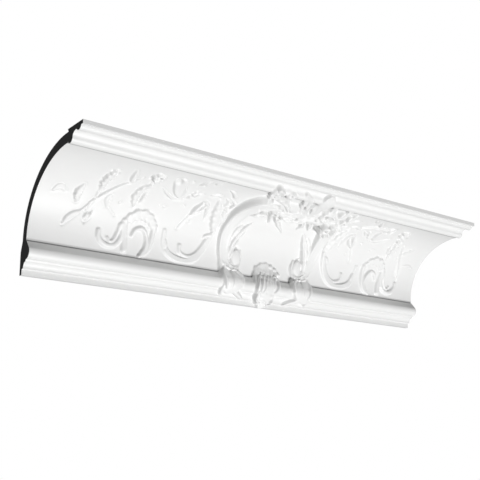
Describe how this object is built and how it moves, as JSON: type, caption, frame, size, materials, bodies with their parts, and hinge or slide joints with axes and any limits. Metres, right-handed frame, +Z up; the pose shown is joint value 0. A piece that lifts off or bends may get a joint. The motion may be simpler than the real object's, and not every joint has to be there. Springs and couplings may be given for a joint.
{
  "type": "cornice moulding section",
  "caption": "Deep cove cornice moulding, cut square at both ends, with leafy scroll relief, a scrolled frame with a shell foot and a flowered crest.",
  "frame": {"origin": "on the back of the wall flange, at mid-length and at half the flange's height, 21 mm above the lower edge", "axes": "+X along the moulding, +Y into the wall, -Y into the room, +Z up to the ceiling"},
  "size_m": [1, 0.2183, 0.2166],
  "materials": {
    "white_casting": "smooth white primer, slightly satin, on a rigid foam casting; the two sawn ends are dark grey"
  },
  "bodies": {
    "root": {"cornice_moulding": "white_casting"}
  },
  "joints": []
}
